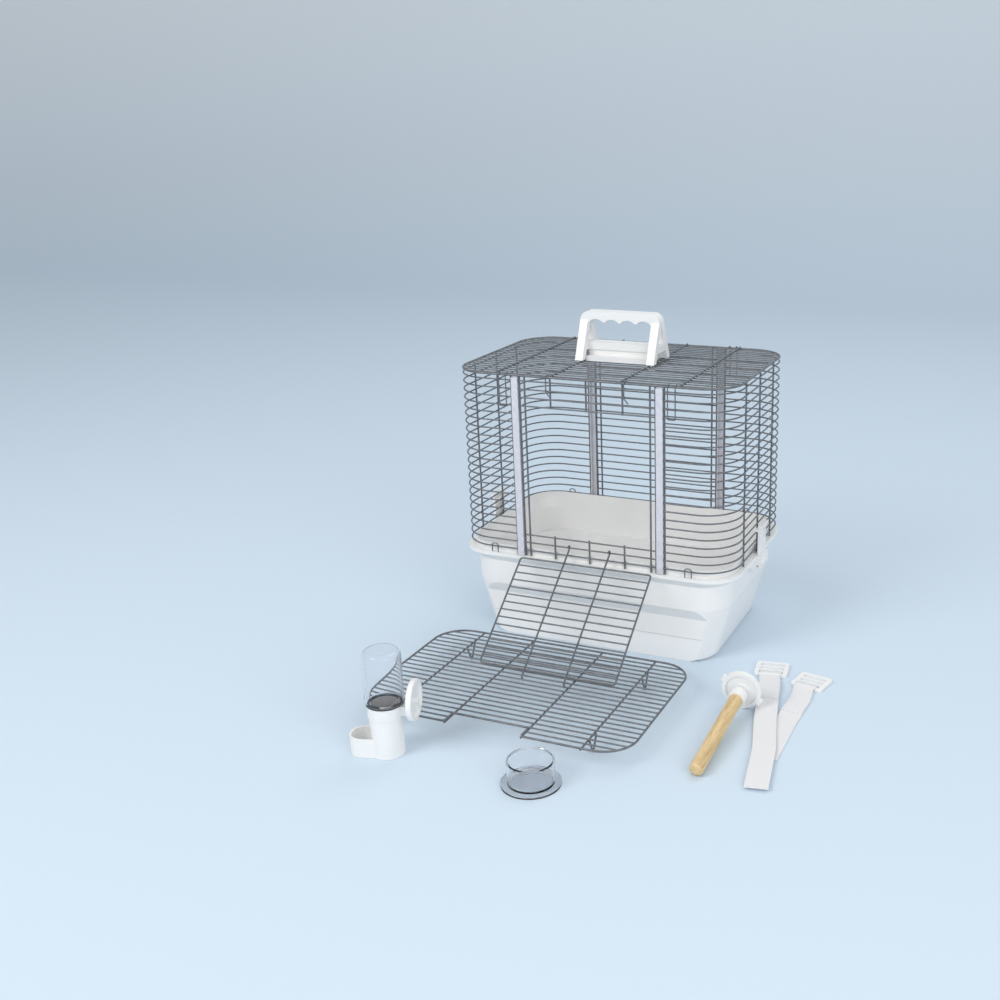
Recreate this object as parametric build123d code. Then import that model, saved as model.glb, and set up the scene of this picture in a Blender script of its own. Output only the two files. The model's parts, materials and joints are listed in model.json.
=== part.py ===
from build123d import *
import os
from math import atan2, degrees

# Driving sizes, in millimetres. The origin is the middle of the tub's underside.
cage_width = 350.0
cage_depth = 226.0
corner_radius = 42.0
ring_pitch = 10.0
ring_count = 22
ring_diameter = 1.8
post_diameter = 2.2
weld_sink = 0.25
post_gap = 0.02
first_ring_clearance = 8.0
side_post_inset = 57.0
seat_gap = 0.3

strip_spacing = 180.0
strip_width = 8.2
strip_depth = 5.0
strip_wall = 1.1
strip_gap = 0.2
frame_post_spacing = 6.5
band_post_spacing = 45.0

lower_band_rings = 3
upper_band_first_ring = 18

tub_ledge_height = 112.0
tub_lip_height = 9.0
tub_lip_inset = 4.0
tub_lip_wall = 2.0
tub_rim_overhang = 2.6
tub_rim_thickness = 4.0
tub_flare_height = 8.0
tub_wall = 2.4
tub_floor = 2.6
tub_belt_height = 70.0
tub_belt_inset_x = 9.5
tub_belt_inset_y = 3.2
tub_foot_inset_x = 28.0
tub_foot_inset_y = 6.0
tub_foot_chamfer = 3.0
tub_corner_radius = 40.0
recess_depth = 8.0
recess_slope = 14.0
recess_step = 2.0
recess_step_height = 31.0
recess_half_width = 150.0
recess_end_taper = 16.0

roof_height = 216.0
roof_frame_diameter = 2.6
roof_wire_pitch = 10.0
roof_cross_wires = (-114.0, -44.0, 44.0, 114.0)
roof_clip_offset = 105.0
roof_clip_width = 9.0
roof_clip_ring = 18
roof_hook_offset = 48.5

handle_height = 57.0
handle_half_width = 51.0
handle_bar_thickness = 13.0
handle_bar_depth = 16.0
handle_side_thickness = 10.0
handle_leg_spread = 27.5
handle_leg_width = 9.0
handle_screw_spread = 20.5
handle_screw_x = 47.7
handle_lower_bar = 9.0
handle_plate_thickness = 4.0
handle_plate_depth = 34.0
handle_scallop_radius = 12.0
handle_scallop_depth = 4.0

door_width = 168.0
door_reach = 163.0
door_first_wire = 20.0
door_open_slope = 37.5
door_wire_diameter = 1.8
door_frame_diameter = 2.2
door_arm_spacing = 52.0
door_offset = 4.0
door_hook_length = 10.0

grille_width = 320.0
grille_depth = 212.0
grille_radius = 36.0
grille_pitch = 9.6
grille_height = 21.0
grille_center_x = -13.0
grille_center_y = -148.0
grille_notch_width = 90.0
grille_notch_depth = 19.0
grille_long_wires = 112.0
grille_leg_inset = 32.0
grille_leg_spread = 9.0
grille_leg_bend = 2.0
grille_leg_drop = 2.5
grille_frame_diameter = 2.4

latch_width = 26.0
latch_pin_diameter = 3.0
latch_pin_height = 99.0
latch_pin_out = 4.6
latch_plate = 2.6
latch_ear = 4.0
latch_ring = 2

bottle_x = -99.0
bottle_y = -299.0
bottle_yaw = 15.0
tank_diameter = 40.0
tank_wall = 1.2
tank_height = 60.0
collar_diameter = 37.0
collar_height = 13.0
drinker_height = 44.0
drinker_diameter = 35.0
drinker_wall = 1.8
trough_reach = 40.0
trough_width = 30.0
trough_height = 21.0
clamp_disc_diameter = 44.0
clamp_disc_thickness = 6.0
clamp_height = 62.0
clamp_reach = 34.0

cup_x = 66.0
cup_y = -300.0
cup_diameter = 47.5
cup_height = 26.0
cup_flange = 61.0
cup_wall = 1.6

perch_x = 213.5
perch_tip_y = -232.0
perch_diameter = 15.0
perch_length = 138.0
perch_cap_diameter = 19.0
perch_cap_length = 14.0
perch_disc_diameter = 44.0
perch_disc_thickness = 4.5
perch_disc_gap = 6.0
perch_tab = 7.0
perch_screw_diameter = 5.0

strap_width = 24.0
strap_thickness = 1.4
buckle_width = 38.0
buckle_length = 34.0
buckle_thickness = 3.2
buckle_bar = 5.0
buckle_slot = 6.0

# Sizes worked out from the driving ones.
half_width = cage_width / 2
first_ring_height = tub_ledge_height + first_ring_clearance
ring_radius = ring_diameter / 2
post_radius = post_diameter / 2
weld_offset = ring_radius + post_radius - weld_sink
free_offset = ring_radius + post_radius + post_gap
roof_z = first_ring_height + roof_height
post_bottom = tub_ledge_height + seat_gap
post_top = roof_z - roof_frame_diameter / 2 - seat_gap
strip_edge = strip_width / 2 + strip_gap
edge_post = strip_edge + post_radius
strip_x = strip_spacing / 2
door_axis_z = first_ring_height + ring_pitch
roof_top = roof_z + roof_frame_diameter / 2
handle_low = roof_z + weld_offset + post_radius + 0.05
clip_diameter = 1.4

os.makedirs("parts", exist_ok=True)
nodes = {}


def ring_z(index):
    return first_ring_height + index * ring_pitch


def rod(start, end, diameter):
    """Straight wire between two points."""
    start, end = Vector(*start), Vector(*end)
    run = end - start
    return Plane(origin=start, z_dir=run) * Cylinder(
        diameter / 2, run.length, align=(Align.CENTER, Align.CENTER, Align.MIN)
    )


def bent(points, radius, diameter):
    """Wire bent through a list of points."""
    path = FilletPolyline(*points, radius=radius)
    section = Plane(origin=path @ 0, z_dir=path % 0) * Circle(diameter / 2)
    return sweep(section, path=path)


def joined(pieces):
    """One solid of all the welded pieces."""
    shape = pieces[0].fuse(*pieces[1:])
    return Compound(children=list(shape)) if isinstance(shape, list) else shape


def wire_loop(outline, diameter):
    """Closed wire along the edge of a flat outline."""
    path = outline.wires()[0]
    section = Plane(origin=path @ 0, z_dir=path % 0) * Circle(diameter / 2)
    return sweep(section, path=path)


def block(x_range, y_range, z_range):
    """Box between three pairs of limits."""
    size = [high - low for low, high in (x_range, y_range, z_range)]
    middle = [(high + low) / 2 for low, high in (x_range, y_range, z_range)]
    return Pos(*middle) * Box(*size)


def add(name, shape):
    nodes[name] = shape


# Tub: a deep tray with a flared rim, an upstanding lip and a long recess front and back.
def tub_section(height, inset_x, inset_y, radius):
    outline = RectangleRounded(cage_width - 2 * inset_x, cage_depth - 2 * inset_y, radius)
    return Pos(0, cage_depth / 2, height) * outline


def tub_recess():
    top = tub_belt_height
    face = tub_belt_inset_y + recess_depth
    outside = -2 * tub_rim_overhang
    profile = Polyline(
        (outside, top),
        (tub_belt_inset_y, top),
        (face, top - recess_slope),
        (face, recess_step_height),
        (face + recess_step, recess_step_height - recess_step),
        (face + recess_step, -1),
        (outside, -1),
        close=True,
    )
    groove = extrude(Plane.YZ * make_face(profile), recess_half_width, both=True)
    ends = Polyline(
        (-recess_half_width, top + 1),
        (recess_half_width, top + 1),
        (recess_half_width - recess_end_taper, -2),
        (-recess_half_width + recess_end_taper, -2),
        close=True,
    )
    keep = extrude(Plane.XZ * make_face(ends), cage_depth, both=True)
    return groove & keep


def make_tub():
    rim_low = tub_ledge_height - tub_rim_thickness
    neck = rim_low - tub_flare_height
    recess_floor = tub_belt_inset_y + recess_depth + recess_step
    radius = tub_corner_radius
    outer = loft(
        [
            tub_section(0, tub_foot_inset_x + tub_foot_chamfer, tub_foot_inset_y + tub_foot_chamfer, radius),
            tub_section(tub_foot_chamfer, tub_foot_inset_x, tub_foot_inset_y, radius),
            tub_section(tub_belt_height, tub_belt_inset_x, tub_belt_inset_y, radius),
            tub_section(neck, tub_belt_inset_x - 1, tub_belt_inset_y, radius),
            tub_section(rim_low, -tub_rim_overhang, -tub_rim_overhang, radius),
            tub_section(tub_ledge_height, -tub_rim_overhang, -tub_rim_overhang, radius),
        ],
        ruled=True,
    )
    lip = extrude(
        tub_section(tub_ledge_height, tub_lip_inset, tub_lip_inset, corner_radius - tub_lip_inset),
        tub_lip_height,
    )
    belt = tub_belt_height - tub_wall
    lower_hollow = loft(
        [
            tub_section(tub_floor, tub_foot_inset_x + tub_wall + 1, recess_floor + tub_wall, radius - tub_wall),
            tub_section(belt, tub_belt_inset_x + tub_wall + 1, recess_floor + tub_wall, radius - tub_wall),
        ],
        ruled=True,
    )
    lip_inner = tub_lip_inset + tub_lip_wall
    upper_hollow = loft(
        [
            tub_section(belt, tub_belt_inset_x + tub_wall, tub_belt_inset_y + tub_wall, radius - tub_wall),
            tub_section(neck, tub_belt_inset_x + tub_wall - 1, tub_belt_inset_y + tub_wall, radius - tub_wall),
            tub_section(tub_ledge_height, lip_inner, lip_inner, radius - tub_wall),
        ],
        ruled=True,
    )
    mouth = extrude(
        tub_section(tub_ledge_height, lip_inner, lip_inner, corner_radius - lip_inner),
        tub_lip_height,
    )
    front = tub_recess()
    back = Pos(0, cage_depth, 0) * Rot(0, 0, 180) * front
    ears = []
    for side in (-1, 1):
        for end in (-1, 1):
            ears.append(latch_ear_block(side, end))
    solid = (outer + lip) - front - back
    return (solid + ears) - lower_hollow - upper_hollow - mouth


# Side latches: a white clip on a pin at each side, hooked over a ring of the cage.
latch_x = half_width + latch_pin_out


def latch_ear_block(side, end):
    near = latch_width / 2 + seat_gap
    middle = cage_depth / 2
    low, high = sorted((middle + end * near, middle + end * (near + latch_ear)))
    inner = half_width - tub_belt_inset_x
    outer = latch_x + latch_pin_diameter
    left, right = sorted((side * inner, side * outer))
    ear = block((left, right), (low, high), (latch_pin_height - 4, tub_ledge_height - 1))
    hole = rod((side * latch_x, low - 1, latch_pin_height), (side * latch_x, high + 1, latch_pin_height),
               latch_pin_diameter)
    return ear - hole


def make_latch(side):
    inner = half_width + tub_rim_overhang + seat_gap
    outer = inner + latch_plate
    hook_low = ring_z(latch_ring) + ring_radius + seat_gap
    hook_high = hook_low + latch_plate
    barrel_radius = latch_pin_diameter / 2 + 1.6
    middle = cage_depth / 2
    y_range = (middle - latch_width / 2, middle + latch_width / 2)
    top = hook_high + 5
    plate = block((inner, outer), y_range, (latch_pin_height, top))
    hook = block((half_width - ring_radius + 0.6, inner + 0.5), y_range, (hook_low, hook_high))
    lug = block((outer - 0.5, outer + 3), y_range, (top - 2.4, top))
    barrel = rod((latch_x, y_range[0], latch_pin_height), (latch_x, y_range[1], latch_pin_height),
                 2 * barrel_radius)
    bore = rod((latch_x, y_range[0] - 1, latch_pin_height), (latch_x, y_range[1] + 1, latch_pin_height),
               latch_pin_diameter + 0.1)
    shape = (plate + hook + lug + barrel) - bore
    return shape if side > 0 else mirror(shape, about=Plane.YZ)


def make_latch_pins():
    reach = latch_width / 2 + seat_gap + latch_ear
    middle = cage_depth / 2
    return Compound(children=[
        rod((side * latch_x, middle - reach, latch_pin_height), (side * latch_x, middle + reach, latch_pin_height),
            latch_pin_diameter)
        for side in (-1, 1)
    ])


# Small wire staples that hold the cage's lowest ring to the rim.
def make_rim_staples():
    staples = []
    for side in (-1, 1):
        for y, out in ((0, -1), (cage_depth, 1)):
            x = side * 125.0
            inner = y + out * (ring_radius + 0.95)
            low = tub_ledge_height + 1.0
            foot, head = low + 0.2, low + 11
            route = [(x - 4, inner, foot), (x - 4, inner, head), (x + 4, inner, head), (x + 4, inner, foot)]
            staples.append(bent(route, 2.5, 1.4))
    return Compound(children=staples)


# Wire panels: rings on the outside, upright wires welded to their inner side.
def corner_panel():
    """Front right corner: from the joint strip round to the first side post."""
    start = strip_x + strip_edge
    end = side_post_inset + post_radius + weld_sink
    pieces = [
        bent([(start, 0, ring_z(k)), (half_width, 0, ring_z(k)), (half_width, end, ring_z(k))],
             corner_radius, ring_diameter)
        for k in range(ring_count)
    ]
    pieces.append(rod((strip_x + edge_post, weld_offset, post_bottom),
                      (strip_x + edge_post, weld_offset, post_top), post_diameter))
    pieces.append(rod((half_width - weld_offset, side_post_inset, post_bottom),
                      (half_width - weld_offset, side_post_inset, post_top), post_diameter))
    return joined(pieces)


def side_panel():
    start = side_post_inset + post_radius + weld_sink
    pieces = [
        rod((half_width, start, ring_z(k)), (half_width, cage_depth - start, ring_z(k)), ring_diameter)
        for k in range(ring_count)
    ]
    pieces.append(rod((half_width - weld_offset, cage_depth / 2, post_bottom),
                      (half_width - weld_offset, cage_depth / 2, post_top), post_diameter))
    return joined(pieces)


def flat_panel(rings, posts, y, inward, low, high):
    reach = strip_x - strip_edge
    pieces = [rod((-reach, y, ring_z(k)), (reach, y, ring_z(k)), ring_diameter) for k in rings]
    pieces += [rod((x, y + inward * weld_offset, low), (x, y + inward * weld_offset, high), post_diameter)
               for x in posts]
    return joined(pieces)


def opening_posts(side):
    outer = strip_x - edge_post
    return Compound(children=[
        rod((side * x, free_offset, post_bottom), (side * x, free_offset, post_top), post_diameter)
        for x in (outer, outer - frame_post_spacing)
    ])


def joint_strip():
    """Front right strip: a channel that stands in the gap between two panels."""
    face = -ring_radius - 0.4
    low = post_bottom + seat_gap
    high = post_top - 1
    half = strip_width / 2
    bar = block((strip_x - half, strip_x + half), (face, face + strip_depth), (low, high))
    groove = block((strip_x - half + strip_wall, strip_x + half - strip_wall),
                   (face + strip_wall, face + strip_depth + 1), (low - 1, high + 1))
    return bar - groove


# Roof: a rounded frame with cross wires above and below the long wires, clips and hooks.
def make_roof():
    outline = Pos(0, cage_depth / 2, roof_z) * RectangleRounded(cage_width, cage_depth, corner_radius)
    pieces = [wire_loop(outline, roof_frame_diameter)]
    count = 2 * int((cage_depth - 1) // (2 * roof_wire_pitch))
    margin = (cage_depth - (count - 1) * roof_wire_pitch) / 2
    for index in range(count):
        y = margin + index * roof_wire_pitch
        side = min(y, cage_depth - y)
        drop = max(corner_radius - side, 0)
        reach = half_width - corner_radius + (corner_radius ** 2 - drop ** 2) ** 0.5
        pieces.append(rod((-reach, y, roof_z), (reach, y, roof_z), ring_diameter))
    cross_z = roof_z + weld_offset
    for x in roof_cross_wires:
        pieces.append(rod((x, 0, cross_z), (x, cage_depth, cross_z), post_diameter))
    return joined(pieces)


def roof_clip():
    """Front right clip: a wire loop from over the roof frame down to a ring."""
    x = roof_clip_offset
    out = -(roof_frame_diameter + clip_diameter) / 2 - 0.1
    top = roof_top + 0.9
    low = ring_z(roof_clip_ring) - 1
    return bent(
        [
            (x - roof_clip_width / 2, 3.5, top),
            (x - roof_clip_width / 2, out, top),
            (x - roof_clip_width / 2, out, low),
            (x + roof_clip_width / 2, out, low),
            (x + roof_clip_width / 2, out, top),
            (x + roof_clip_width / 2, 3.5, top),
        ],
        1.6, clip_diameter,
    )


def roof_hooks():
    hooks = []
    for side in (-1, 1):
        x = side * roof_hook_offset
        top = roof_top + 0.85
        hooks.append(bent(
            [
                (x, 9, top),
                (x, -ring_radius - 1.6, top),
                (x, -ring_radius - 1.6, ring_z(ring_count - 2) - 1),
                (x + 5, -ring_radius - 1.2, ring_z(ring_count - 2) - 7),
            ],
            2.2, 1.5,
        ))
    return Compound(children=hooks)


# Carry handle, one moulding with a finger grip, two forked ends and a lower bar.
def make_handle():
    low = handle_low
    top = low + handle_height
    middle = cage_depth / 2
    bar_low = top - handle_bar_thickness
    bar = block((-handle_half_width, handle_half_width),
                (middle - handle_bar_depth / 2, middle + handle_bar_depth / 2), (bar_low, top))
    bar = fillet(bar.edges().filter_by(Axis.Y).group_by(Axis.Z)[-1], handle_bar_thickness - 2)
    lift = handle_scallop_radius - handle_scallop_depth
    span = 2 * (handle_half_width - handle_side_thickness)
    step = span / 4
    for index in range(4):
        x = (index - 1.5) * step
        bar -= Pos(x, middle, bar_low - lift) * Rot(90, 0, 0) * Cylinder(handle_scallop_radius, 40)
    legs = []
    for side in (-1, 1):
        inner = side * (handle_half_width - handle_side_thickness)
        outer = side * handle_half_width
        for end in (-1, 1):
            foot = middle + end * handle_leg_spread
            head = middle + end * (handle_bar_depth / 2)
            profile = Polyline(
                (foot, low),
                (foot - end * handle_leg_width, low),
                (head - end * handle_leg_width, bar_low + 3),
                (head, bar_low + 3),
                close=True,
            )
            leg = extrude(Plane.YZ * make_face(profile), abs(outer - inner))
            legs.append(Pos(min(inner, outer), 0, 0) * leg)
    rung_low = low + 11
    rung = block((-handle_half_width + 1, handle_half_width - 1), (middle - 8, middle + 8),
                 (rung_low, rung_low + handle_lower_bar))
    ties = []
    for side in (-1, 1):
        x_range = sorted((side * (handle_half_width - handle_side_thickness), side * handle_half_width))
        ties.append(block(x_range, (middle - 19, middle + 19), (rung_low, rung_low + handle_lower_bar)))
    return joined([bar] + legs + [rung] + ties)


def handle_plate():
    low = roof_z + ring_radius + 0.1
    middle = cage_depth / 2
    inner = handle_half_width - handle_side_thickness - seat_gap
    plate = block((-inner, inner), (middle - handle_plate_depth / 2, middle + handle_plate_depth / 2),
                  (low, handle_low + handle_plate_thickness))
    riser = block((-inner, inner), (middle - 6, middle + 6), (low, handle_low + 11 - 0.05))
    return plate + riser


def handle_clamp():
    """Bar under the roof that the handle's screws pull up against the wires."""
    top = roof_z - ring_radius - 0.1
    middle = cage_depth / 2
    reach = handle_leg_spread
    bars = []
    for side in (-1, 1):
        x = side * handle_screw_x
        bar = block((x - 3.3, x + 3.3), (middle - reach, middle + reach), (top - 3, top))
        for end in (-1, 1):
            y = middle + end * handle_screw_spread
            bar -= rod((x, y, top - 4), (x, y, top + 1), 2.6)
        bars.append(bar)
    return Compound(children=bars)


def handle_screws():
    top = roof_z - ring_radius - 0.1
    middle = cage_depth / 2
    screws = []
    for side in (-1, 1):
        x = side * handle_screw_x
        for end in (-1, 1):
            y = middle + end * handle_screw_spread
            head = rod((x, y, top - 4.8), (x, y, top - 3.02), 5.0)
            shank = rod((x, y, top - 3.1), (x, y, handle_low), 2.4)
            screws.append(head + shank)
    return Compound(children=screws)


# Front door: flat wire panel with two arms that curl round the lower band's middle wire.
def door_frame_place(shape):
    """From the door's own plane, hinge at the origin, to its open place."""
    return Pos(0, 0, door_axis_z) * Rot(door_open_slope, 0, 0) * Rot(0, 0, 180) * shape


def make_door():
    half = door_width / 2
    first, last = door_first_wire, door_reach
    z = -door_offset
    outline = Pos(0, (first + last) / 2, z) * RectangleRounded(door_width, last - first, 3)
    pieces = [wire_loop(outline, door_frame_diameter)]
    count = round((last - first) / ring_pitch)
    step = (last - first) / count
    for index in range(1, count):
        y = first + index * step
        pieces.append(rod((-half, y, z), (half, y, z), door_wire_diameter))
    over = z + (door_wire_diameter + post_diameter) / 2 - weld_sink
    for side in (-1, 1):
        x = side * door_arm_spacing / 2
        pieces.append(rod((x, 4, over), (x, last, over), post_diameter))
    return joined(pieces)


def door_hinge_hooks():
    """Curled ends of the arms, round the hinge wire with a running gap."""
    over = -door_offset + (door_wire_diameter + post_diameter) / 2 - weld_sink
    hooks = []
    radius = -over
    for side in (-1, 1):
        x = side * door_arm_spacing / 2
        curl = bent(
            [(x, 4, over), (x, -radius, over), (x, -radius, radius), (x, radius * 0.9, radius)],
            radius * 0.98, post_diameter - 0.2,
        )
        hooks.append(curl)
    return hooks


def door_catches():
    z = -door_offset + (door_wire_diameter + post_diameter) / 2 - weld_sink
    hooks = []
    for side in (-1, 1):
        x = side * door_arm_spacing / 2
        start = door_reach + door_frame_diameter / 2 + post_gap
        hooks.append(bent([(x, start, z), (x, door_reach + door_hook_length, z),
                           (x, door_reach + door_hook_length + 1, z - 6)], 2, post_diameter))
    return hooks


# Floor grille: rounded frame with a notch, long wires, four cross wires and four V legs.
def grille_point(x, y):
    return (grille_center_x + x, grille_center_y + y, grille_height)


def make_grille():
    w, d, r = grille_width / 2, grille_depth / 2, grille_radius
    n, nd = grille_notch_width / 2, grille_notch_depth
    right_side = [(0, -d + nd), (n, -d + nd), (n, -d), (w, -d), (w, d)]
    left_side = [(-w, d), (-w, -d), (-n, -d), (-n, -d + nd), (-1, -d + nd)]
    radii = [4, 4, r, r, r, r, 4, 4]
    points = [grille_point(x, y) for x, y in right_side + left_side]
    path = FilletPolyline(*points, radius=radii)
    section = Plane(origin=path @ 0, z_dir=path % 0) * Circle(grille_frame_diameter / 2)
    closing = rod(points[-1], grille_point(1, -d + nd), grille_frame_diameter)
    pieces = [sweep(section, path=path), closing]
    count = int((2 * d - 1) // grille_pitch)
    margin = d - (count - 1) * grille_pitch / 2
    for index in range(count):
        y = -d + margin + index * grille_pitch
        drop = max(r - (d - abs(y)), 0)
        reach = w - r + (r ** 2 - drop ** 2) ** 0.5
        spans = [(-reach, reach)] if y > -d + nd else [(-reach, -n), (n, reach)]
        for low, high in spans:
            pieces.append(rod(grille_point(low, y), grille_point(high, y), ring_diameter))
    under = weld_offset
    for x in (-grille_long_wires, -n, n, grille_long_wires):
        a, b = grille_point(x, -d), grille_point(x, d)
        pieces.append(rod((a[0], a[1], a[2] - under), (b[0], b[1], b[2] - under), post_diameter))
    return joined(pieces)


def grille_leg(x, y):
    """V-shaped leg: down to the table and up again."""
    px, py, pz = grille_point(x, y)
    top = pz - weld_offset - post_diameter - 0.05
    tip = post_radius - grille_leg_drop
    return bent([(px, py - grille_leg_spread, top), (px, py, tip), (px, py + grille_leg_spread, top)],
                grille_leg_bend, post_diameter)


# Water bottle, in its own frame: +X from the tank to the clamp disc.
def bottle_place(shape):
    return Pos(bottle_x, bottle_y, 0) * Rot(0, 0, bottle_yaw) * shape


def make_drinker():
    body = Cylinder(drinker_diameter / 2, drinker_height, align=(Align.CENTER, Align.CENTER, Align.MIN))
    nose = block((-trough_reach, 0), (-trough_width / 2, trough_width / 2), (0, trough_height))
    nose = fillet(nose.edges().filter_by(Axis.Z).group_by(Axis.X)[0], trough_width / 2 - 1)
    shape = body + nose
    inner = drinker_wall
    socket = Pos(0, 0, trough_height) * Cylinder(drinker_diameter / 2 - inner, drinker_height,
                                                 align=(Align.CENTER, Align.CENTER, Align.MIN))
    basin = block((-trough_reach + inner, -4), (-trough_width / 2 + inner, trough_width / 2 - inner),
                  (6, trough_height + 1))
    basin = fillet(basin.edges().filter_by(Axis.Z).group_by(Axis.X)[0], trough_width / 2 - inner - 1)
    mouth = Pos(-drinker_diameter / 2, 0, trough_height) * Rot(90, 0, 0) * Cylinder(11, trough_width - 8)
    return shape - socket - basin - mouth


def make_collar():
    low = drinker_height
    outer = Cylinder(collar_diameter / 2, collar_height, align=(Align.CENTER, Align.CENTER, Align.MIN))
    bore = Pos(0, 0, -1) * Cylinder(drinker_diameter / 2 - drinker_wall, collar_height + 2,
                                    align=(Align.CENTER, Align.CENTER, Align.MIN))
    return Pos(0, 0, low) * (outer - bore)


def make_tank():
    low = drinker_height + collar_height
    radius = tank_diameter / 2
    body = Cylinder(radius, tank_height, align=(Align.CENTER, Align.CENTER, Align.MIN))
    body = fillet(body.edges().group_by(Axis.Z)[-1], 6)
    body = fillet(body.edges().group_by(Axis.Z)[0], 1)
    neck_radius = drinker_diameter / 2 - drinker_wall - 0.3
    neck = Pos(0, 0, -collar_height) * Cylinder(neck_radius, collar_height + 2,
                                                align=(Align.CENTER, Align.CENTER, Align.MIN))
    hollow = Pos(0, 0, tank_wall + 1) * Cylinder(radius - tank_wall, tank_height - 2 * tank_wall - 1,
                                                 align=(Align.CENTER, Align.CENTER, Align.MIN))
    hollow = fillet(hollow.edges().group_by(Axis.Z)[-1], 5)
    bore = Pos(0, 0, -collar_height - 1) * Cylinder(neck_radius - tank_wall, collar_height + 6,
                                                    align=(Align.CENTER, Align.CENTER, Align.MIN))
    return Pos(0, 0, low) * ((body + neck) - hollow - bore)


def make_arm():
    start = collar_diameter / 2 + 0.05
    end = clamp_reach - clamp_disc_thickness - seat_gap
    low = drinker_height + 2
    high = drinker_height + collar_height - 1
    foot = block((start - 3, end), (-6, 6), (low, high))
    foot -= Cylinder(collar_diameter / 2 + 0.05, 300)
    riser = block((end - 4, end), (-6, 6), (low, clamp_height + 7))
    riser = fillet(riser.edges().filter_by(Axis.X).group_by(Axis.Z)[-1], 5)
    pad = rod((end - 0.5, 0, clamp_height), (end, 0, clamp_height), 12)
    stud = rod((end - 1, 0, clamp_height), (clamp_reach + 2, 0, clamp_height), 6)
    return foot + riser + pad + stud


def make_clamp_disc():
    start = clamp_reach - clamp_disc_thickness
    disc = rod((start, 0, clamp_height), (clamp_reach, 0, clamp_height), clamp_disc_diameter)
    disc = fillet(disc.edges().filter_by(GeomType.CIRCLE), 1.6)
    dish = rod((clamp_reach - 2.5, 0, clamp_height), (clamp_reach + 1, 0, clamp_height),
               clamp_disc_diameter - 9)
    bore = rod((start - 1, 0, clamp_height), (clamp_reach + 1, 0, clamp_height), 6.2)
    grips = []
    for index in range(2):
        grip = block((clamp_reach - 3, clamp_reach), (-1.5, 1.5), (5, clamp_disc_diameter / 2 - 3))
        grips.append(Pos(0, 0, clamp_height) * Rot(180 * index + 35, 0, 0) * grip)
    return (disc - dish + grips) - bore


# Food cup: a clear dish on a wide flat flange.
def make_cup():
    wall = Cylinder(cup_diameter / 2, cup_height, align=(Align.CENTER, Align.CENTER, Align.MIN))
    flange = Cylinder(cup_flange / 2, 2.0, align=(Align.CENTER, Align.CENTER, Align.MIN))
    hollow = Pos(0, 0, cup_wall + 0.6) * Cylinder(cup_diameter / 2 - cup_wall, cup_height,
                                                  align=(Align.CENTER, Align.CENTER, Align.MIN))
    rim = Pos(0, 0, cup_height - 1.6) * Cylinder(cup_diameter / 2 + 0.9, 1.6,
                                                 align=(Align.CENTER, Align.CENTER, Align.MIN))
    hollow = fillet(hollow.edges().group_by(Axis.Z)[0], 3)
    return Pos(cup_x, cup_y, 0) * (wall + flange + rim - hollow)


# Perch, in its own frame: dowel along +Y from its rounded tip, disc at the far end.
perch_disc_y = perch_length + perch_cap_length - 4 + perch_disc_gap
perch_tilt = degrees(atan2((perch_disc_diameter - perch_diameter) / 2, perch_disc_y))


def perch_place(shape):
    lift = perch_diameter / 2 + 0.15
    return Pos(perch_x, perch_tip_y, lift) * Rot(perch_tilt, 0, 0) * shape


def make_dowel():
    dowel = rod((0, 0, 0), (0, perch_length, 0), perch_diameter)
    return fillet(dowel.edges().group_by(Axis.Y)[0], 4.5)


def make_perch_cap():
    start = perch_length - 4
    end = start + perch_cap_length
    cap = rod((0, start, 0), (0, end, 0), perch_cap_diameter)
    cap = fillet(cap.edges().group_by(Axis.Y)[-1], 2)
    cap -= rod((0, start - 1, 0), (0, perch_length + 0.05, 0), perch_diameter + 0.1)
    return cap - rod((0, perch_length, 0), (0, end + 1, 0), perch_screw_diameter)


def make_perch_screw():
    start = perch_length + 1
    return rod((0, start, 0), (0, perch_disc_y + perch_disc_thickness + 3, 0), perch_screw_diameter)


def make_perch_disc():
    start, end = perch_disc_y, perch_disc_y + perch_disc_thickness
    disc = rod((0, start, 0), (0, end, 0), perch_disc_diameter)
    dish = rod((0, start - 1, 0), (0, start + 2, 0), perch_disc_diameter - 8)
    hub = rod((0, start, 0), (0, end, 0), 14)
    for index in range(2):
        rim = perch_disc_diameter / 2
        tab = block((rim - 3, rim + 3), (start, end), (-perch_tab / 2, perch_tab / 2))
        disc += Rot(0, -150 + 180 * index, 0) * tab
    bore = rod((0, start - 1, 0), (0, end + 1, 0), perch_screw_diameter + 0.3)
    return (disc - dish + hub) - bore


# Straps: flat bands on the table, each with a ladder buckle.
def strap_band(points, level):
    path = FilletPolyline(*[(x, y, level + strap_thickness / 2) for x, y in points], radius=120)
    section = Plane(origin=path @ 0, x_dir=(0, 0, 1), z_dir=path % 0) * Rectangle(strap_thickness, strap_width)
    return sweep(section, path=path)


def strap_buckle(x, y, turn, level):
    half = buckle_width / 2
    frame = Box(buckle_width, buckle_length, buckle_thickness)
    frame = fillet(frame.edges().filter_by(Axis.Z), 4)
    first = -buckle_length / 2 + buckle_bar + buckle_slot / 2
    step = (buckle_length - 2 * buckle_bar - buckle_slot) / 2
    for index in range(3):
        frame -= Pos(0, first + index * step, 0) * Box(2 * half - 2 * buckle_bar, buckle_slot, 10)
    return Pos(x, y, level + buckle_thickness / 2) * Rot(0, 0, turn) * frame


# Assemble the nodes.
back = Plane(origin=(0, cage_depth / 2, 0), z_dir=(0, 1, 0))
four_corners = (
    ("front_right", False, False),
    ("front_left", True, False),
    ("back_right", False, True),
    ("back_left", True, True),
)


def placed(shape, left, rear):
    if left:
        shape = mirror(shape, about=Plane.YZ)
    if rear:
        shape = mirror(shape, about=back)
    return shape


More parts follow.
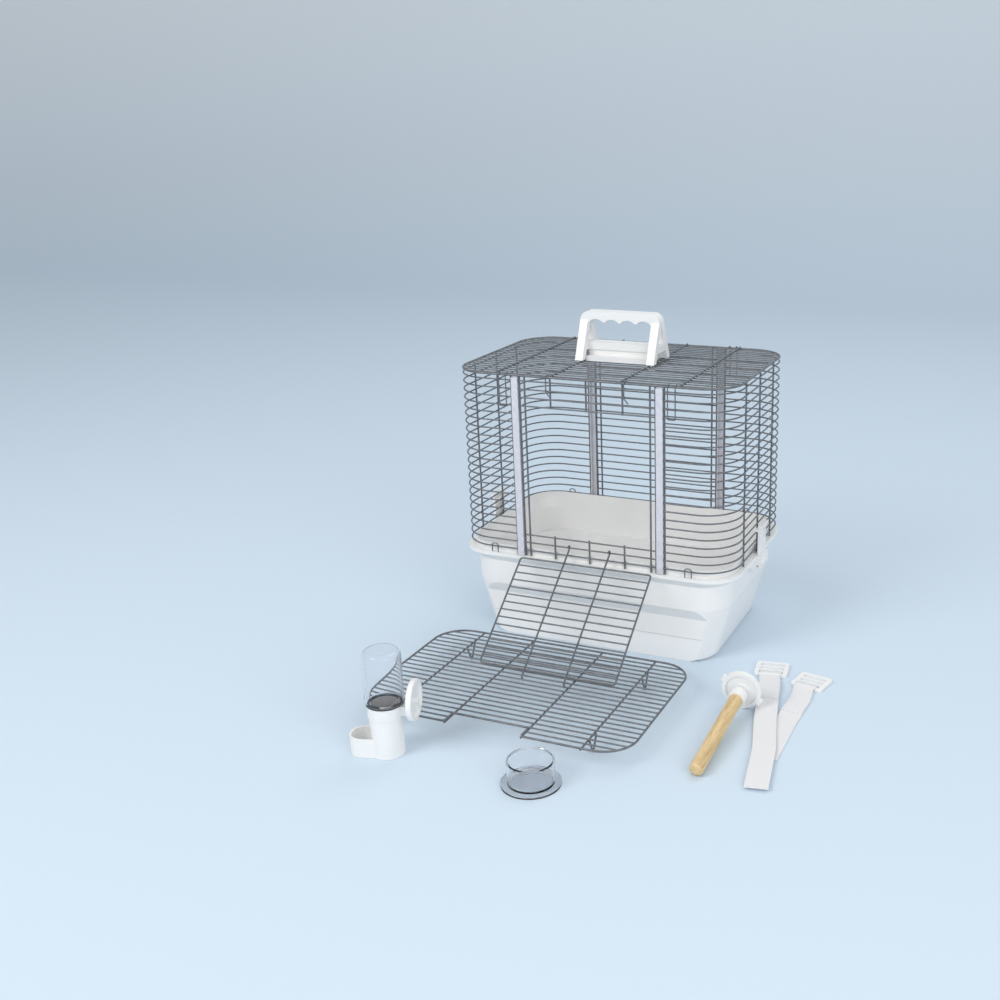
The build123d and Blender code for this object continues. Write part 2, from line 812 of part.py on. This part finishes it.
add("base_tub", make_tub())
add("latch_right", make_latch(1))
add("latch_left", make_latch(-1))
add("latch_pins", make_latch_pins())
add("rim_staples", make_rim_staples())
corner, strip, clip = corner_panel(), joint_strip(), roof_clip()
for name, left, rear in four_corners:
    add("corner_wires_" + name, placed(corner, left, rear))
    add("joint_strip_" + name, placed(strip, left, rear))
    add("roof_clip_" + name, placed(clip, left, rear))
side = side_panel()
add("side_wires_right", side)
add("side_wires_left", placed(side, True, False))
edge = strip_x - edge_post
full_posts = (-edge, -edge + frame_post_spacing, edge - frame_post_spacing, edge)
band_posts = (-band_post_spacing, 0, band_post_spacing)
add("back_wires", flat_panel(range(ring_count), full_posts, cage_depth, -1, post_bottom, post_top))
add("front_lower_wires", flat_panel(range(lower_band_rings), band_posts, 0, 1,
                                    post_bottom, ring_z(lower_band_rings - 1) + 1.5))
add("front_upper_wires", flat_panel(range(upper_band_first_ring, ring_count), band_posts, 0, 1,
                                    ring_z(upper_band_first_ring) - 1.5, post_top))
add("front_posts_left", opening_posts(-1))
add("front_posts_right", opening_posts(1))
add("roof_wires", make_roof())
add("roof_hooks", roof_hooks())
add("carry_handle", make_handle())
add("handle_plate", handle_plate())
add("handle_clamp_bars", handle_clamp())
add("handle_screws", handle_screws())
add("door_wires", door_frame_place(make_door()))
add("door_hinge_hooks", Compound(children=[door_frame_place(h) for h in door_hinge_hooks()]))
add("door_catch_hooks", Compound(children=[door_frame_place(h) for h in door_catches()]))
add("floor_grille", make_grille())
leg_y = grille_depth / 2 - grille_leg_inset
add("grille_legs", Compound(children=[
    grille_leg(x, y) for x in (-grille_long_wires, grille_long_wires) for y in (-leg_y, leg_y)
]))
add("bottle_drinker", bottle_place(make_drinker()))
add("bottle_collar", bottle_place(make_collar()))
add("bottle_tank", bottle_place(make_tank()))
add("bottle_arm", bottle_place(make_arm()))
add("bottle_clamp_disc", bottle_place(make_clamp_disc()))
add("food_cup", make_cup())
add("perch_dowel", perch_place(make_dowel()))
add("perch_cap", perch_place(make_perch_cap()))
add("perch_screw", perch_place(make_perch_screw()))
add("perch_disc", perch_place(make_perch_disc()))
add("strap_band_lower", strap_band([(269, -36), (267, -90), (268, -172)], 0.0))
add("strap_buckle_lower", strap_buckle(271, 8, -12, 0.0))
add("strap_band_upper", strap_band([(229, -18), (247, -100), (263, -160), (276, -234)], 2 * strap_thickness))
add("strap_buckle_upper", strap_buckle(220, 24, 8, 0.0))

# The pieces are placed from the cage front's wire plane and moved back to centre the tub on the origin.
for name, shape in nodes.items():
    centred = Pos(0, -cage_depth / 2, 0) * (shape if isinstance(shape, (Part, Compound, Solid)) else Part() + shape)
    export_step(centred, f"parts/{name}.step")
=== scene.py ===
import json
from math import cos, pi, radians, sin

import bpy
from mathutils import Matrix, Vector


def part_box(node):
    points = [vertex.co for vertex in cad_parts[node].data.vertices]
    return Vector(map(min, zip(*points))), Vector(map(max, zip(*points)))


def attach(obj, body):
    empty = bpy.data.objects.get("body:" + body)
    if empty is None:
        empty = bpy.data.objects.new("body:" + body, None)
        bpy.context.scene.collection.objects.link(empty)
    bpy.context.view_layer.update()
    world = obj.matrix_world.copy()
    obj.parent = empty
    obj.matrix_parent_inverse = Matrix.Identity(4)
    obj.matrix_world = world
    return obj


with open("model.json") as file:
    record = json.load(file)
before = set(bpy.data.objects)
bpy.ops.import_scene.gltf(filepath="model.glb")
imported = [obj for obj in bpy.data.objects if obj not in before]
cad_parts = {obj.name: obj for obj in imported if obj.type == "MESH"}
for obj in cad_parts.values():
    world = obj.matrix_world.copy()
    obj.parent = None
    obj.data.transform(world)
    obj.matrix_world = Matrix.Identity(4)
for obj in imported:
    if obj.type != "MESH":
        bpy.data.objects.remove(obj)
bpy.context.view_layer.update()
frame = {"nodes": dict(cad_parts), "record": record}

NODES = frame["nodes"]
ROOT = "cage"

# The camera stands where the photographed rings, posts and roof put it, in metres.
CAMERA_PLACE = Vector((0.5578, -1.3555, 0.6454))
CAMERA_AZIMUTH = radians(23.572)
CAMERA_ELEVATION = radians(18.381)
CAMERA_ROLL = radians(-1.2055)
PHOTO_SIZE = 1000.0
FOCAL_PIXELS = 1225.1
AXIS_PIXEL_X = 600.0
SENSOR = 36.0
CLIP_START = 0.05

# The studio: a pale blue floor that sweeps up into a lighter wall, three soft lamps and a pale sky.
FLOOR_COLOUR = (0.63, 0.74, 0.84)
WALL_COLOUR = (0.84, 0.91, 0.96)
WALL_FADE_HEIGHT = 1.2
COVE_START = 2.4
COVE_RADIUS = 1.6
COVE_HEIGHT = 4.5
COVE_SIDE = 7.0
COVE_STEPS = 16
FLOOR_DROP = -0.0002
LAMP_TARGET = (0, -0.16, 0.2)
LAMPS = {
    "key": {"place": (-1.1, -2.2, 2.0), "size": 1.5, "power": 33},
    "fill": {"place": (2.0, -1.7, 1.3), "size": 2.0, "power": 24},
    "top": {"place": (0.3, 1.1, 2.6), "size": 1.8, "power": 14},
}
WORLD_COLOUR = (0.97, 0.98, 1.0, 1)
WORLD_STRENGTH = 0.58

# Colours of the finishes.
WHITE_TONES = [(0.3, (0.85, 0.85, 0.84)), (0.7, (0.90, 0.90, 0.89))]
WIRE_TONES = [(0.32, (0.12, 0.13, 0.14)), (0.72, (0.20, 0.21, 0.225))]
STRIP_TONES = [(0.32, (0.62, 0.62, 0.67)), (0.72, (0.72, 0.72, 0.77))]
STEEL_TONES = [(0.3, (0.42, 0.43, 0.45)), (0.7, (0.58, 0.59, 0.60))]
WEBBING_TONES = [(0.0, (0.76, 0.76, 0.77)), (0.6, (0.90, 0.90, 0.90))]
CLEAR_TINT = (0.985, 0.985, 0.995, 1)
WOOD_TONES = [(0.30, (0.50, 0.33, 0.14)), (0.50, (0.70, 0.52, 0.27)), (0.74, (0.82, 0.65, 0.39))]

# Shading and edge rounding.
SHARP_ANGLE = radians(35)
BEVEL_ANGLE = radians(38)
BEVEL_SEGMENTS = 2

# Strap ends, in metres. The buckle's sizes are the CAD's.
STRAP_WIDTH = 0.024
STRAP_THICKNESS = 0.0014
STRAP_GAP = 0.0001
LAP_LENGTH = 0.034
BUCKLE_LENGTH = 0.034
BUCKLE_THICKNESS = 0.0032
BUCKLE_BAR = 0.005
BUCKLE_SLOT = 0.006
BAR_EDGE = 0.0006
BAR_CLEARANCE = STRAP_GAP * 4
LAP_STEPS = 6
EDGE_STEPS = 4
STITCH_ROWS = (0.003, 0.011)
STITCH_COUNT = 9
STITCH_STEP = 0.0024
STITCH_REACH = 0.36
STITCH_FLAT = 0.6
STITCH_DIP = 0.0003
STITCH_RADIUS = 0.0003
STITCH_SIDES = 6

# The lap beside the bar: how far off it rises and dives, and its heights as shares of that over the bar.
LAP_RISE = 0.004
LAP_RISE_SHARE = 0.8
LAP_DIVE = 0.001
LAP_DIVE_SHARE = 0.72
LAP_END_SHARE = 0.22

# Where each strap lies, in metres: its buckle's middle and turn, and the line that its band ends on.
STRAPS = {
    "lower": {
        "buckle_centre": (0.271, -0.105),
        "turn": radians(-12),
        "band_end": (0.269, -0.149),
        "band_back": (0.267, -0.203),
    },
    "upper": {
        "buckle_centre": (0.220, -0.089),
        "turn": radians(8),
        "band_end": (0.229, -0.131),
        "band_back": (0.247, -0.213),
    },
}

# Finger ribs on the latches, in metres.
LATCH_FACE = 0.1805
RIB_COUNT = 3
RIB_TOP = 0.009
RIB_STEP = 0.004
RIB_HALF_LENGTH = 0.009
RIB_RADIUS = 0.0008
RIB_SIDES = 10


def make_camera():
    azimuth, elevation, roll = CAMERA_AZIMUTH, CAMERA_ELEVATION, CAMERA_ROLL
    back = Vector((sin(azimuth) * cos(elevation), -cos(azimuth) * cos(elevation), sin(elevation)))
    right = Vector((cos(azimuth), sin(azimuth), 0))
    up = back.cross(right)
    turned_right = cos(roll) * right + sin(roll) * up
    turned_up = cos(roll) * up - sin(roll) * right
    data = bpy.data.cameras.new("camera")
    data.sensor_width = SENSOR
    data.lens = FOCAL_PIXELS / PHOTO_SIZE * SENSOR
    data.shift_x = (PHOTO_SIZE / 2 - AXIS_PIXEL_X) / PHOTO_SIZE
    data.clip_start = CLIP_START
    camera = bpy.data.objects.new("camera", data)
    bpy.context.scene.collection.objects.link(camera)
    matrix = Matrix((turned_right, turned_up, back)).transposed().to_4x4()
    matrix.translation = CAMERA_PLACE
    camera.matrix_world = matrix
    bpy.context.scene.camera = camera


def area_light(name, place, size, power):
    data = bpy.data.lights.new(name, "AREA")
    data.shape = "DISK"
    data.size = size
    data.energy = power
    light = bpy.data.objects.new(name, data)
    bpy.context.scene.collection.objects.link(light)
    light.location = place
    light.rotation_euler = (Vector(LAMP_TARGET) - Vector(place)).to_track_quat("-Z", "Y").to_euler()


def make_lights():
    for name, lamp in LAMPS.items():
        area_light(name, **lamp)
    world = bpy.data.worlds.new("studio")
    bpy.context.scene.world = world
    world.use_nodes = True
    background = world.node_tree.nodes["Background"]
    background.inputs["Color"].default_value = WORLD_COLOUR
    background.inputs["Strength"].default_value = WORLD_STRENGTH


class Shader:
    """A material with short ways to add and link nodes."""

    def __init__(self, name):
        self.material = bpy.data.materials.new(name)
        self.material.use_nodes = True
        self.tree = self.material.node_tree
        self.surface = self.tree.nodes["Principled BSDF"]
        self.place = self.add("ShaderNodeTexCoord").outputs["Object"]

    def add(self, kind, **inputs):
        node = self.tree.nodes.new(kind)
        for key, value in inputs.items():
            node.inputs[key.replace("_", " ")].default_value = value
        return node

    def link(self, start, end):
        self.tree.links.new(start, end)

    def set(self, **inputs):
        for key, value in inputs.items():
            self.surface.inputs[key.replace("_", " ")].default_value = value

    def stretched(self, scale):
        mapping = self.add("ShaderNodeMapping")
        mapping.inputs["Scale"].default_value = scale
        self.link(self.place, mapping.inputs["Vector"])
        return mapping.outputs["Vector"]

    def noise(self, scale, detail=3.0, roughness=0.55, vector=None):
        node = self.add("ShaderNodeTexNoise", Scale=scale, Detail=detail, Roughness=roughness)
        self.link(vector or self.place, node.inputs["Vector"])
        return node.outputs["Fac"]

    def ramp(self, factor, stops):
        node = self.add("ShaderNodeValToRGB")
        elements = node.color_ramp.elements
        while len(elements) < len(stops):
            elements.new(0.5)
        for element, (place, colour) in zip(elements, stops):
            element.position = place
            element.color = (*colour, 1)
        self.link(factor, node.inputs[0])
        return node.outputs["Color"]

    def spread(self, factor, low, high):
        node = self.add("ShaderNodeMapRange")
        node.inputs["To Min"].default_value = low
        node.inputs["To Max"].default_value = high
        self.link(factor, node.inputs["Value"])
        return node.outputs["Result"]

    def bump(self, height, strength, distance):
        node = self.add("ShaderNodeBump", Strength=strength, Distance=distance)
        self.link(height, node.inputs["Height"])
        self.link(node.outputs["Normal"], self.surface.inputs["Normal"])


def white_plastic():
    shader = Shader("white_plastic")
    tone = shader.noise(scale=9.0, detail=4.0)
    gloss = shader.spread(shader.noise(scale=60.0), low=0.30, high=0.42)
    shader.link(shader.ramp(tone, WHITE_TONES), shader.surface.inputs["Base Color"])
    shader.link(gloss, shader.surface.inputs["Roughness"])
    shader.set(IOR=1.49)
    shader.bump(shader.noise(scale=1400.0, detail=2.0), strength=0.08, distance=0.0002)
    return shader.material


def metal_paint(name, tones, metal):
    shader = Shader(name)
    tone = shader.noise(scale=140.0, detail=4.0)
    gloss = shader.spread(shader.noise(scale=420.0), low=0.26, high=0.42)
    shader.link(shader.ramp(tone, tones), shader.surface.inputs["Base Color"])
    shader.link(gloss, shader.surface.inputs["Roughness"])
    shader.set(Metallic=metal)
    shader.bump(shader.noise(scale=2600.0, detail=2.0), strength=0.12, distance=0.0001)
    return shader.material


def clear_plastic():
    shader = Shader("clear_plastic")
    gloss = shader.spread(shader.noise(scale=35.0), low=0.02, high=0.07)
    shader.set(Base_Color=CLEAR_TINT, Transmission_Weight=1.0, IOR=1.28)
    shader.link(gloss, shader.surface.inputs["Roughness"])
    return shader.material


def plain_wood():
    shader = Shader("turned_wood")
    along_grain = shader.stretched(scale=(150.0, 9.0, 150.0))
    fibres = shader.noise(scale=1.6, detail=6.0, roughness=0.65, vector=along_grain)
    fine = shader.noise(scale=9.0, detail=3.0, roughness=0.5, vector=along_grain)
    grain = shader.add("ShaderNodeMath")
    grain.operation = "ADD"
    shader.link(fibres, grain.inputs[0])
    shader.link(shader.spread(fine, low=-0.12, high=0.12), grain.inputs[1])
    shader.link(shader.ramp(grain.outputs[0], WOOD_TONES), shader.surface.inputs["Base Color"])
    shader.link(shader.spread(fine, low=0.48, high=0.66), shader.surface.inputs["Roughness"])
    shader.bump(grain.outputs[0], strength=0.25, distance=0.0003)
    return shader.material


def webbing_cloth():
    shader = Shader("webbing")
    waves = []
    for direction, scale in (("X", 330.0), ("Y", 250.0)):
        wave = shader.add("ShaderNodeTexWave", Scale=scale, Distortion=0.6, Detail=1.0)
        wave.bands_direction = direction
        shader.link(shader.place, wave.inputs["Vector"])
        waves.append(wave.outputs["Fac"])
    weave = shader.add("ShaderNodeMath")
    weave.operation = "MULTIPLY"
    shader.link(waves[0], weave.inputs[0])
    shader.link(waves[1], weave.inputs[1])
    shader.link(shader.ramp(weave.outputs[0], WEBBING_TONES), shader.surface.inputs["Base Color"])
    shader.set(Roughness=0.85, Sheen_Weight=0.25)
    shader.bump(weave.outputs[0], strength=0.5, distance=0.0004)
    return shader.material


def plain_steel():
    shader = Shader("plain_steel")
    gloss = shader.spread(shader.noise(scale=300.0), low=0.22, high=0.4)
    shader.link(shader.ramp(shader.noise(scale=90.0), STEEL_TONES), shader.surface.inputs["Base Color"])
    shader.link(gloss, shader.surface.inputs["Roughness"])
    shader.set(Metallic=1.0)
    return shader.material


def floor_material():
    shader = Shader("studio_floor")
    parts = shader.add("ShaderNodeSeparateXYZ")
    shader.link(shader.place, parts.inputs[0])
    rise = shader.add("ShaderNodeMapRange")
    rise.inputs["From Max"].default_value = WALL_FADE_HEIGHT
    shader.link(parts.outputs["Z"], rise.inputs["Value"])
    shades = [(0.0, FLOOR_COLOUR), (1.0, WALL_COLOUR)]
    shader.link(shader.ramp(rise.outputs["Result"], shades), shader.surface.inputs["Base Color"])
    shader.set(Roughness=0.6, Specular_IOR_Level=0.2)
    return shader.material


MATERIALS = {
    "white_plastic": white_plastic(),
    "wire": metal_paint("coated_wire", WIRE_TONES, metal=0.35),
    "strip_metal": metal_paint("coated_strip", STRIP_TONES, metal=0.1),
    "clear_plastic": clear_plastic(),
    "wood": plain_wood(),
    "webbing": webbing_cloth(),
    "steel": plain_steel(),
}
SLOTS = {entry["node"]: entry["material_slot"] for entry in frame["record"]["subparts"]}


def smooth_group():
    """Geometry nodes that shade round faces smooth and keep real corners sharp."""
    group = bpy.data.node_groups.new("smooth_by_angle", "GeometryNodeTree")
    group.interface.new_socket("Geometry", in_out="INPUT", socket_type="NodeSocketGeometry")
    group.interface.new_socket("Geometry", in_out="OUTPUT", socket_type="NodeSocketGeometry")
    start = group.nodes.new("NodeGroupInput")
    end = group.nodes.new("NodeGroupOutput")
    angle = group.nodes.new("GeometryNodeInputMeshEdgeAngle")
    compare = group.nodes.new("FunctionNodeCompare")
    compare.data_type = "FLOAT"
    compare.operation = "LESS_THAN"
    compare.inputs[1].default_value = SHARP_ANGLE
    edges = group.nodes.new("GeometryNodeSetShadeSmooth")
    edges.domain = "EDGE"
    faces = group.nodes.new("GeometryNodeSetShadeSmooth")
    faces.domain = "FACE"
    group.links.new(angle.outputs["Unsigned Angle"], compare.inputs[0])
    group.links.new(start.outputs[0], faces.inputs["Geometry"])
    group.links.new(faces.outputs["Geometry"], edges.inputs["Geometry"])
    group.links.new(compare.outputs["Result"], edges.inputs["Shade Smooth"])
    group.links.new(edges.outputs["Geometry"], end.inputs[0])
    return group


SMOOTH = smooth_group()

# How far each moulded node's edges are rounded, in metres.
BEVELS = {
    "base_tub": 0.0012,
    "carry_handle": 0.0022,
    "handle_plate": 0.0008,
    "latch_left": 0.0007,
    "latch_right": 0.0007,
    "bottle_drinker": 0.0009,
    "bottle_collar": 0.0007,
    "bottle_arm": 0.0008,
    "bottle_clamp_disc": 0.0005,
    "perch_cap": 0.0006,
    "perch_disc": 0.0006,
    "strap_buckle_lower": 0.0006,
    "strap_buckle_upper": 0.0006,
    "food_cup": 0.0004,
    "bottle_tank": 0.0003,
}


def dress_nodes():
    for name, node in NODES.items():
        material = MATERIALS[SLOTS[name]]
        for material_slot in node.material_slots:
            material_slot.link = "OBJECT"
            material_slot.material = material
        if name in BEVELS:
            bevel = node.modifiers.new("edges", "BEVEL")
            bevel.width = BEVELS[name]
            bevel.segments = BEVEL_SEGMENTS
            bevel.limit_method = "ANGLE"
            bevel.angle_limit = BEVEL_ANGLE
            bevel.use_clamp_overlap = True
        smooth = node.modifiers.new("smooth", "NODES")
        smooth.node_group = SMOOTH


def make_latch_ribs():
    """Finger ribs on the outside of each latch."""
    for side, name in ((-1, "latch_left"), (1, "latch_right")):
        low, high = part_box(name)
        middle = (low[1] + high[1]) / 2
        outer = LATCH_FACE * side
        for index in range(RIB_COUNT):
            z = high[2] - RIB_TOP - index * RIB_STEP
            points = [(outer, middle - RIB_HALF_LENGTH, z), (outer, middle + RIB_HALF_LENGTH, z)]
            round_bar(f"{name}_rib_{index + 1}", points, RIB_RADIUS, RIB_SIDES, name, "white_plastic")


def mesh_object(name, vertices, faces, material):
    mesh = bpy.data.meshes.new(name)
    mesh.from_pydata(vertices, [], faces)
    mesh.materials.append(material)
    item = bpy.data.objects.new(name, mesh)
    bpy.context.scene.collection.objects.link(item)
    return item


def make_floor():
    """Studio floor that sweeps up into a wall far behind the cage."""
    profile = [(-COVE_SIDE, 0.0), (COVE_START, 0.0)]
    for step in range(1, COVE_STEPS + 1):
        turn = pi / 2 * step / COVE_STEPS
        profile.append((COVE_START + COVE_RADIUS * sin(turn), COVE_RADIUS * (1 - cos(turn))))
    profile.append((COVE_START + COVE_RADIUS, COVE_HEIGHT))
    vertices = [(side, y, z) for y, z in profile for side in (-COVE_SIDE, COVE_SIDE)]
    faces = [(2 * row, 2 * row + 1, 2 * row + 3, 2 * row + 2) for row in range(len(profile) - 1)]
    floor = mesh_object("studio_floor", vertices, faces, floor_material())
    for polygon in floor.data.polygons:
        polygon.use_smooth = True
    floor.location.z = FLOOR_DROP


def ribbon(name, points, across, width, thickness, body, slot_name):
    """A flat strip through the given points, with rounded long edges."""
    across = Vector(across).normalized()
    half = thickness / 2
    outline = []
    for side in (-1, 1):
        for step in range(EDGE_STEPS + 1):
            turn = -pi / 2 * side + pi * side * step / EDGE_STEPS
            outline.append((side * (width / 2 - half) + side * half * cos(turn), half * sin(turn)))
    vertices = []
    for index, point in enumerate(points):
        before = Vector(points[max(index - 1, 0)])
        after = Vector(points[min(index + 1, len(points) - 1)])
        run = (after - before).normalized()
        normal = run.cross(across).normalized()
        for x, z in outline:
            vertices.append(Vector(point) + across * x + normal * z)
    size = len(outline)
    faces = []
    for row in range(len(points) - 1):
        for column in range(size):
            following = (column + 1) % size
            faces.append((row * size + column, row * size + following,
                          (row + 1) * size + following, (row + 1) * size + column))
    faces.append(tuple(range(size)))
    faces.append(tuple(reversed(range((len(points) - 1) * size, len(points) * size))))
    strip = mesh_object(name, vertices, faces, MATERIALS[slot_name])
    for polygon in strip.data.polygons:
        polygon.use_smooth = True
    smooth = strip.modifiers.new("smooth", "NODES")
    smooth.node_group = SMOOTH
    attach(strip, body)


def eased(points, steps):
    """More points on a smooth run through the given ones."""
    rows = [Vector(point) for point in points]
    ends = [rows[0] * 2 - rows[1]] + rows + [rows[-1] * 2 - rows[-2]]
    smooth = []
    for index in range(1, len(ends) - 2):
        a, b, c, d = ends[index - 1:index + 3]
        for step in range(steps):
            t = step / steps
            smooth.append(0.5 * (2 * b + (c - a) * t + (2 * a - 5 * b + 4 * c - d) * t * t
                                 + (3 * b - a - 3 * c + d) * t * t * t))
    smooth.append(rows[-1])
    return smooth


def round_bar(name, points, radius, sides, body, slot_name):
    """A thin round thread or rod through the given points."""
    vertices = []
    for index, point in enumerate(points):
        before = Vector(points[max(index - 1, 0)])
        after = Vector(points[min(index + 1, len(points) - 1)])
        run = (after - before).normalized()
        first = run.orthogonal().normalized()
        second = run.cross(first)
        for side in range(sides):
            turn = 2 * pi * side / sides
            vertices.append(Vector(point) + radius * (cos(turn) * first + sin(turn) * second))
    faces = []
    for row in range(len(points) - 1):
        for side in range(sides):
            following = (side + 1) % sides
            faces.append((row * sides + side, row * sides + following,
                          (row + 1) * sides + following, (row + 1) * sides + side))
    faces.append(tuple(reversed(range(sides))))
    faces.append(tuple(range((len(points) - 1) * sides, len(points) * sides)))
    bar = mesh_object(name, vertices, faces, MATERIALS[slot_name])
    for polygon in bar.data.polygons:
        polygon.use_smooth = len(polygon.vertices) == 4
    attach(bar, body)


def strap_lap(label, buckle_centre, turn, band_end, band_back):
    """The strap's end, from its band up over the buckle's near bar and down its first slot."""
    heading = Vector((-sin(turn), cos(turn), 0))
    across = Vector((cos(turn), sin(turn), 0))
    centre = Vector((*buckle_centre, 0))
    half = STRAP_THICKNESS / 2
    bar_near = centre - heading * BUCKLE_LENGTH / 2
    slot_middle = centre - heading * (BUCKLE_LENGTH / 2 - BUCKLE_BAR - BUCKLE_SLOT / 2)
    over = Vector((0, 0, BUCKLE_THICKNESS + half + STRAP_GAP))
    end = Vector((*band_end, 0))
    back = Vector((*band_back, 0))
    along = (end - back).normalized()
    level = Vector((0, 0, band_end_level(label) + half))
    low = Vector((0, 0, half + STRAP_GAP))
    under_points = [
        end + along * STRAP_GAP + level,
        end.lerp(bar_near, 0.5) + (level + low) / 2,
        bar_near - heading * BAR_CLEARANCE + low,
    ]
    under = eased(under_points, LAP_STEPS)
    ribbon("strap_end_" + label, under, across, STRAP_WIDTH, STRAP_THICKNESS, ROOT, "webbing")
    lift = Vector((0, 0, STRAP_THICKNESS + STRAP_GAP))
    lap_points = [
        end - along * LAP_LENGTH + level + lift,
        end - along * LAP_LENGTH / 2 + level + lift,
        end + level + lift,
        bar_near - heading * LAP_RISE + over * LAP_RISE_SHARE,
        bar_near + heading * BAR_EDGE + over,
        bar_near + heading * (BUCKLE_BAR - BAR_EDGE) + over,
        slot_middle - heading * LAP_DIVE + over * LAP_DIVE_SHARE,
        slot_middle + over * LAP_END_SHARE,
    ]
    lap = eased(lap_points, LAP_STEPS)
    ribbon("strap_lap_" + label, lap, across, STRAP_WIDTH, STRAP_THICKNESS, ROOT, "webbing")
    side = Vector((along.y, -along.x, 0))
    reach = side * STITCH_STEP * STITCH_REACH
    dip = Vector((0, 0, -STITCH_DIP))
    for row, inset in enumerate(STITCH_ROWS):
        start = end - along * (LAP_LENGTH - inset) + level + lift
        for stitch in range(STITCH_COUNT):
            offset = (stitch - (STITCH_COUNT - 1) / 2) * STITCH_STEP
            middle = start + side * offset + Vector((0, 0, half))
            points = [
                middle - reach + dip,
                middle - reach * STITCH_FLAT,
                middle + reach * STITCH_FLAT,
                middle + reach + dip,
            ]
            name = f"strap_stitch_{label}_{row}_{stitch}"
            round_bar(name, points, STITCH_RADIUS, STITCH_SIDES, ROOT, "webbing")


def band_end_level(label):
    """How high the band's underside lies. The upper band lies over the lower one."""
    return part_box("strap_band_" + label)[0][2]


bpy.context.scene.view_settings.view_transform = "Standard"
make_camera()
make_lights()
make_floor()
dress_nodes()
for strap, place in STRAPS.items():
    strap_lap(strap, **place)
make_latch_ribs()
